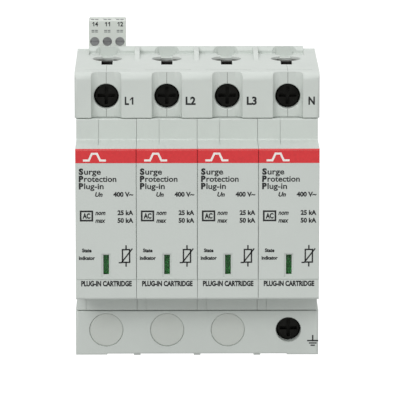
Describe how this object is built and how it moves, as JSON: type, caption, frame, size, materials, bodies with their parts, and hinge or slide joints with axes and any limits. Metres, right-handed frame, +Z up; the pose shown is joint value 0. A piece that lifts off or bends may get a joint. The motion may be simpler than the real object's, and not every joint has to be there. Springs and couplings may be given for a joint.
{
  "type": "whole house surge protector",
  "caption": "Pluggable multi-pole surge protective device for a top-hat rail, with cage terminals, status windows, pull-out cartridges and a remote-signalling plug.",
  "frame": {"origin": "middle of the rear face that rests on the front of the mounting rail", "axes": "+X to the right seen from the front, +Y to the rear towards the rail, +Z up with the line terminals on top"},
  "size_m": [0.072, 0.0648, 0.098],
  "materials": {
    "base_plastic": "fine moulded texture",
    "cartridge_plastic": "fine moulded texture",
    "plug_plastic": "satin",
    "label": "printed film with a red band",
    "flag_green": "satin",
    "window_clear": "clear",
    "varistor_coating": "dipped epoxy",
    "contact_copper": "tinned copper",
    "spring_bronze": "bright",
    "terminal_screw": "zinc plated",
    "terminal_cage": "zinc plated",
    "rivet_steel": "plain",
    "clip_plastic": "satin",
    "signal_plastic": "satin",
    "signal_screw": "zinc plated",
    "switch_plastic": "satin",
    "signal_bar_plastic": "satin"
  },
  "bodies": {
    "base": {"base_left_shell": "base_plastic", "base_shell_l1_l2": "base_plastic", "base_shell_l2_l3": "base_plastic", "base_shell_l3_n": "base_plastic", "base_right_shell": "base_plastic", "tie_rivets": "rivet_steel", "blank_plugs": "plug_plastic", "line_contacts": "contact_copper", "earth_busbar": "contact_copper", "signal_header": "signal_plastic", "microswitch": "switch_plastic"},
    "l1_cartridge": {"l1_cartridge_housing": "cartridge_plastic", "l1_cartridge_side_cover": "cartridge_plastic", "l1_varistor": "varistor_coating", "l1_plug_blades": "contact_copper", "l1_disconnect_spring": "spring_bronze", "l1_window_lens": "window_clear", "l1_front_label": "label"},
    "l1_flag": {"l1_status_flag": "flag_green"},
    "l2_cartridge": {"l2_cartridge_housing": "cartridge_plastic", "l2_cartridge_side_cover": "cartridge_plastic", "l2_varistor": "varistor_coating", "l2_plug_blades": "contact_copper", "l2_disconnect_spring": "spring_bronze", "l2_window_lens": "window_clear", "l2_front_label": "label"},
    "l2_flag": {"l2_status_flag": "flag_green"},
    "l3_cartridge": {"l3_cartridge_housing": "cartridge_plastic", "l3_cartridge_side_cover": "cartridge_plastic", "l3_varistor": "varistor_coating", "l3_plug_blades": "contact_copper", "l3_disconnect_spring": "spring_bronze", "l3_window_lens": "window_clear", "l3_front_label": "label"},
    "l3_flag": {"l3_status_flag": "flag_green"},
    "n_cartridge": {"n_cartridge_housing": "cartridge_plastic", "n_cartridge_side_cover": "cartridge_plastic", "n_varistor": "varistor_coating", "n_plug_blades": "contact_copper", "n_disconnect_spring": "spring_bronze", "n_window_lens": "window_clear", "n_front_label": "label"},
    "n_flag": {"n_status_flag": "flag_green"},
    "l1_screw": {"l1_terminal_screw": "terminal_screw"},
    "l1_cage": {"l1_terminal_cage": "terminal_cage"},
    "l2_screw": {"l2_terminal_screw": "terminal_screw"},
    "l2_cage": {"l2_terminal_cage": "terminal_cage"},
    "l3_screw": {"l3_terminal_screw": "terminal_screw"},
    "l3_cage": {"l3_terminal_cage": "terminal_cage"},
    "n_screw": {"n_terminal_screw": "terminal_screw"},
    "n_cage": {"n_terminal_cage": "terminal_cage"},
    "earth_screw": {"earth_terminal_screw": "terminal_screw"},
    "earth_cage": {"earth_terminal_cage": "terminal_cage"},
    "rail_clip_left": {"rail_clip_left": "clip_plastic"},
    "rail_clip_right": {"rail_clip_right": "clip_plastic"},
    "signal_plug": {"signal_plug": "signal_plastic"},
    "signal_screw_1": {"signal_plug_screw_1": "signal_screw"},
    "signal_screw_2": {"signal_plug_screw_2": "signal_screw"},
    "signal_screw_3": {"signal_plug_screw_3": "signal_screw"},
    "signal_bar": {"signal_bar": "signal_bar_plastic"}
  },
  "joints": [
    {"name": "l1_cartridge_pull", "type": "slide", "parent": "base", "child": "l1_cartridge", "axis": [0, -1, 0], "range_m": [0, 0.045]},
    {"name": "l1_flag_drop", "type": "slide", "parent": "l1_cartridge", "child": "l1_flag", "axis": [0, 0, -1], "range_m": [0, 0.0059]},
    {"name": "l2_cartridge_pull", "type": "slide", "parent": "base", "child": "l2_cartridge", "axis": [0, -1, 0], "range_m": [0, 0.045]},
    {"name": "l2_flag_drop", "type": "slide", "parent": "l2_cartridge", "child": "l2_flag", "axis": [0, 0, -1], "range_m": [0, 0.0059]},
    {"name": "l3_cartridge_pull", "type": "slide", "parent": "base", "child": "l3_cartridge", "axis": [0, -1, 0], "range_m": [0, 0.045]},
    {"name": "l3_flag_drop", "type": "slide", "parent": "l3_cartridge", "child": "l3_flag", "axis": [0, 0, -1], "range_m": [0, 0.0059]},
    {"name": "n_cartridge_pull", "type": "slide", "parent": "base", "child": "n_cartridge", "axis": [0, -1, 0], "range_m": [0, 0.045]},
    {"name": "n_flag_drop", "type": "slide", "parent": "n_cartridge", "child": "n_flag", "axis": [0, 0, -1], "range_m": [0, 0.0059]},
    {"name": "l1_screw_turn", "type": "hinge", "parent": "base", "child": "l1_screw", "pos_m": [-0.0267, -0.03, 0.035], "axis": [0, 1, 0], "range_deg": [0, 2701]},
    {"name": "l1_cage_lift", "type": "slide", "parent": "base", "child": "l1_cage", "axis": [0, -1, 0], "range_m": [0, 0.006]},
    {"name": "l2_screw_turn", "type": "hinge", "parent": "base", "child": "l2_screw", "pos_m": [-0.0089, -0.03, 0.035], "axis": [0, 1, 0], "range_deg": [0, 2701]},
    {"name": "l2_cage_lift", "type": "slide", "parent": "base", "child": "l2_cage", "axis": [0, -1, 0], "range_m": [0, 0.006]},
    {"name": "l3_screw_turn", "type": "hinge", "parent": "base", "child": "l3_screw", "pos_m": [0.0089, -0.03, 0.035], "axis": [0, 1, 0], "range_deg": [0, 2701]},
    {"name": "l3_cage_lift", "type": "slide", "parent": "base", "child": "l3_cage", "axis": [0, -1, 0], "range_m": [0, 0.006]},
    {"name": "n_screw_turn", "type": "hinge", "parent": "base", "child": "n_screw", "pos_m": [0.0267, -0.03, 0.035], "axis": [0, 1, 0], "range_deg": [0, 2701]},
    {"name": "n_cage_lift", "type": "slide", "parent": "base", "child": "n_cage", "axis": [0, -1, 0], "range_m": [0, 0.006]},
    {"name": "earth_screw_turn", "type": "hinge", "parent": "base", "child": "earth_screw", "pos_m": [0.0271, -0.03, -0.03495], "axis": [0, 1, 0], "range_deg": [0, 2701]},
    {"name": "earth_cage_lift", "type": "slide", "parent": "base", "child": "earth_cage", "axis": [0, -1, 0], "range_m": [0, 0.006]},
    {"name": "rail_clip_left_pull", "type": "slide", "parent": "base", "child": "rail_clip_left", "axis": [0, 0, -1], "range_m": [0, 0.004], "stiffness_N_per_m": 1200, "springref_m": -0.001},
    {"name": "rail_clip_right_pull", "type": "slide", "parent": "base", "child": "rail_clip_right", "axis": [0, 0, -1], "range_m": [0, 0.004], "stiffness_N_per_m": 1200, "springref_m": -0.001},
    {"name": "signal_plug_pull", "type": "slide", "parent": "base", "child": "signal_plug", "axis": [0, 0, 1], "range_m": [0, 0.012]},
    {"name": "signal_screw_1_turn", "type": "hinge", "parent": "signal_plug", "child": "signal_screw_1", "pos_m": [-0.03076, 0, 0.0448], "axis": [0, 1, 0], "range_deg": [-1440, 0]},
    {"name": "signal_screw_2_turn", "type": "hinge", "parent": "signal_plug", "child": "signal_screw_2", "pos_m": [-0.02695, 0, 0.0448], "axis": [0, 1, 0], "range_deg": [-1440, 0]},
    {"name": "signal_screw_3_turn", "type": "hinge", "parent": "signal_plug", "child": "signal_screw_3", "pos_m": [-0.02314, 0, 0.0448], "axis": [0, 1, 0], "range_deg": [-1440, 0]},
    {"name": "signal_bar_push", "type": "slide", "parent": "base", "child": "signal_bar", "axis": [0, 0, 1], "range_m": [0, 0.002], "stiffness_N_per_m": 200, "springref_m": -0.002}
  ],
  "couplings": [
    {"joint": "l1_screw_turn", "follows": "l1_cage_lift", "rad_per_m": 7854},
    {"joint": "l2_screw_turn", "follows": "l2_cage_lift", "rad_per_m": 7854},
    {"joint": "l3_screw_turn", "follows": "l3_cage_lift", "rad_per_m": 7854},
    {"joint": "n_screw_turn", "follows": "n_cage_lift", "rad_per_m": 7854},
    {"joint": "earth_screw_turn", "follows": "earth_cage_lift", "rad_per_m": 7854}
  ]
}
